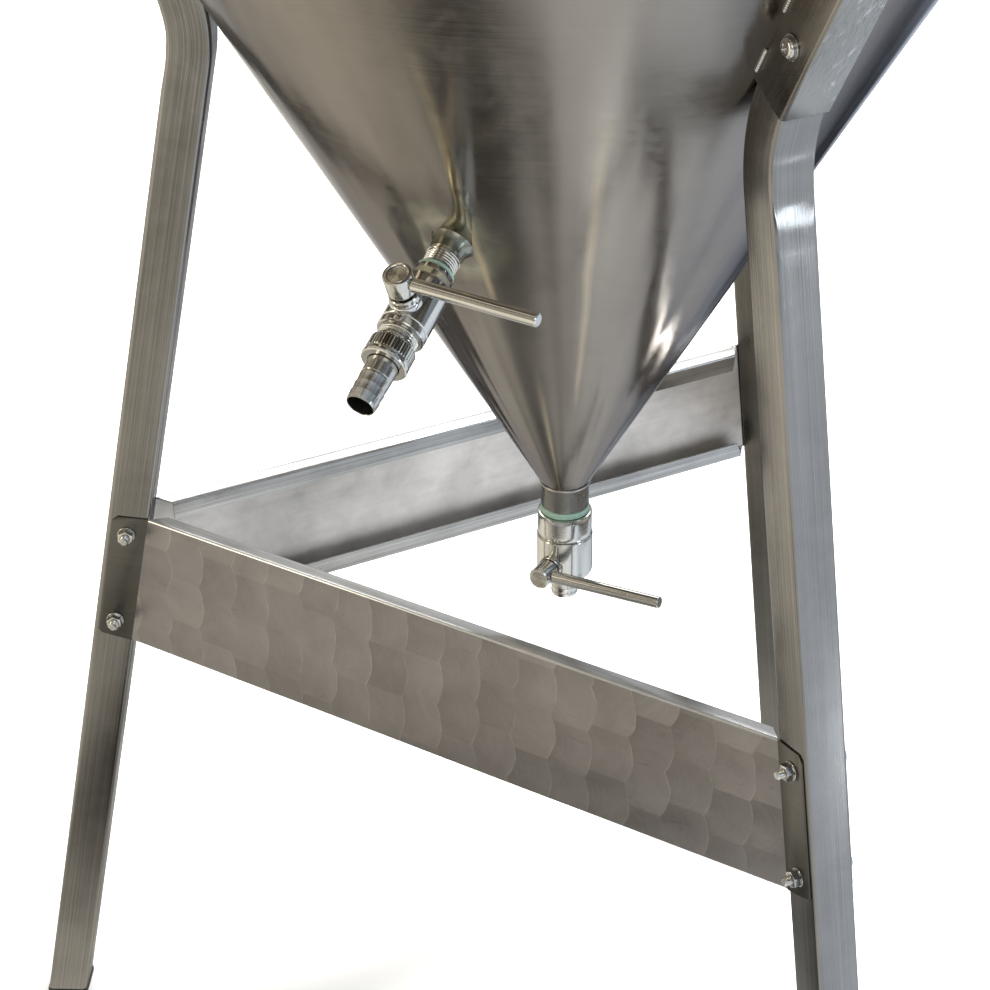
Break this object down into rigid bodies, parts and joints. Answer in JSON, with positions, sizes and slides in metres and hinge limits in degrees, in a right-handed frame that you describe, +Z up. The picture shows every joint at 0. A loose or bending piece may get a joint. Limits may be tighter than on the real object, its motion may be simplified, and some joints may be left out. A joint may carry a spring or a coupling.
{
  "type": "conical fermenter",
  "caption": "Stainless steel conical fermenter on splayed square-tube legs with folded braces, a racking ball valve on the cone, a dump valve below and a clip-down domed lid with airlock.",
  "frame": {"origin": "on the floor, under the vessel's axis, midway between the three feet", "axes": "+Z up along the vessel's axis; the valves and the front brace face -Y, leg A stands towards -X"},
  "size_m": [0.7542, 0.733, 1.6368],
  "materials": {
    "vessel_sheet": "brushed round the vessel, satin",
    "neck_steel": "brushed, darker, with weld tint at the cone",
    "leg_tube": "drawn tube, brushed lengthwise",
    "bracket_sheet": "folded sheet, sanded by hand",
    "engine_turned_sheet": "engine-turned overlapping discs",
    "bright_steel": "polished stainless steel",
    "fastener_steel": "bright stainless fasteners",
    "weld": "bright rippled weld bead",
    "valve_chrome": "polished nickel-chrome plate",
    "seal_green": "pale green sealing ring",
    "white_seal": "white seal",
    "black_rubber": "black rubber",
    "foot_rubber": "black tube plug",
    "clear_plastic": "clear moulded plastic",
    "red_plastic": "moulded cap",
    "float_plastic": "moulded float"
  },
  "bodies": {
    "stand_vessel": {"cone_shell": "vessel_sheet", "cylinder_shell": "vessel_sheet", "rim_bead": "vessel_sheet", "outlet_neck": "neck_steel", "racking_nipple": "valve_chrome", "side_handles": "bright_steel", "clip_bases": "bright_steel", "leg_a": "leg_tube", "leg_b": "leg_tube", "leg_c": "leg_tube", "bracket_a": "bracket_sheet", "bracket_b": "bracket_sheet", "bracket_c": "bracket_sheet", "bracket_welds": "weld", "bracket_screws": "fastener_steel", "bracket_washers": "fastener_steel", "bracket_nuts": "fastener_steel", "brace_ab": "engine_turned_sheet", "brace_bc": "engine_turned_sheet", "brace_ca": "engine_turned_sheet", "brace_bolts": "fastener_steel", "brace_washers": "fastener_steel", "brace_nuts": "fastener_steel", "foot_pads": "foot_rubber", "racking_seal": "seal_green", "racking_body": "valve_chrome", "racking_seats": "white_seal", "racking_packing": "white_seal", "racking_union": "valve_chrome", "racking_gasket": "black_rubber", "racking_tail": "valve_chrome", "dump_seal": "seal_green", "dump_collar": "valve_chrome", "dump_body": "valve_chrome", "dump_seats": "white_seal", "dump_packing": "white_seal", "dump_spout": "valve_chrome"},
    "racking_handle": {"racking_ball": "valve_chrome", "racking_stem": "valve_chrome", "racking_hub": "valve_chrome", "racking_lever": "valve_chrome"},
    "racking_ring_nut": {"racking_nut": "valve_chrome"},
    "dump_handle": {"dump_ball": "valve_chrome", "dump_stem": "valve_chrome", "dump_hub": "valve_chrome", "dump_lever": "valve_chrome"},
    "lid": {"lid_pan": "vessel_sheet", "lid_gasket": "white_seal", "lid_handle": "bright_steel", "airlock_grommet": "black_rubber"},
    "airlock": {"airlock_body": "clear_plastic"},
    "airlock_lid": {"airlock_cap": "red_plastic"},
    "airlock_bell": {"airlock_float": "float_plastic"},
    "lid_clip_1": {"clip_1": "bright_steel"},
    "lid_clip_2": {"clip_2": "bright_steel"},
    "lid_clip_3": {"clip_3": "bright_steel"},
    "lid_clip_4": {"clip_4": "bright_steel"}
  },
  "joints": [
    {"name": "racking_valve_turn", "type": "hinge", "parent": "stand_vessel", "child": "racking_handle", "pos_m": [-0.08837, -0.19391, 0.70214], "axis": [0.1753, 0.3846, -0.9063], "range_deg": [0, 90]},
    {"name": "dump_valve_turn", "type": "hinge", "parent": "stand_vessel", "child": "dump_handle", "pos_m": [0, 0, 0.4161], "axis": [0.4695, 0.8829, 0], "range_deg": [0, 90]},
    {"name": "racking_nut_turn", "type": "hinge", "parent": "stand_vessel", "child": "racking_ring_nut", "pos_m": [-0.10032, -0.22014, 0.6887], "axis": [-0.3758, -0.8247, -0.4226], "continuous": true},
    {"name": "lid_lift", "type": "slide", "parent": "stand_vessel", "child": "lid", "axis": [0, 0, 1], "range_m": [0, 0.25]},
    {"name": "airlock_pull", "type": "slide", "parent": "lid", "child": "airlock", "axis": [0, 0, 1], "range_m": [0, 0.12]},
    {"name": "airlock_cap_lift", "type": "slide", "parent": "airlock", "child": "airlock_lid", "axis": [0, 0, 1], "range_m": [0, 0.06]},
    {"name": "airlock_bell_rise", "type": "slide", "parent": "airlock", "child": "airlock_bell", "axis": [0, 0, 1], "range_m": [0, 0.012]},
    {"name": "lid_clip_1_swing", "type": "hinge", "parent": "stand_vessel", "child": "lid_clip_1", "pos_m": [0.22132, 0.22132, 1.48361], "axis": [0.7071, -0.7071, 0], "range_deg": [0, 180]},
    {"name": "lid_clip_2_swing", "type": "hinge", "parent": "stand_vessel", "child": "lid_clip_2", "pos_m": [-0.22132, 0.22132, 1.48361], "axis": [0.7071, 0.7071, 0], "range_deg": [0, 180]},
    {"name": "lid_clip_3_swing", "type": "hinge", "parent": "stand_vessel", "child": "lid_clip_3", "pos_m": [-0.22132, -0.22132, 1.48361], "axis": [-0.7071, 0.7071, 0], "range_deg": [0, 180]},
    {"name": "lid_clip_4_swing", "type": "hinge", "parent": "stand_vessel", "child": "lid_clip_4", "pos_m": [0.22132, -0.22132, 1.48361], "axis": [-0.7071, -0.7071, 0], "range_deg": [0, 180]}
  ]
}
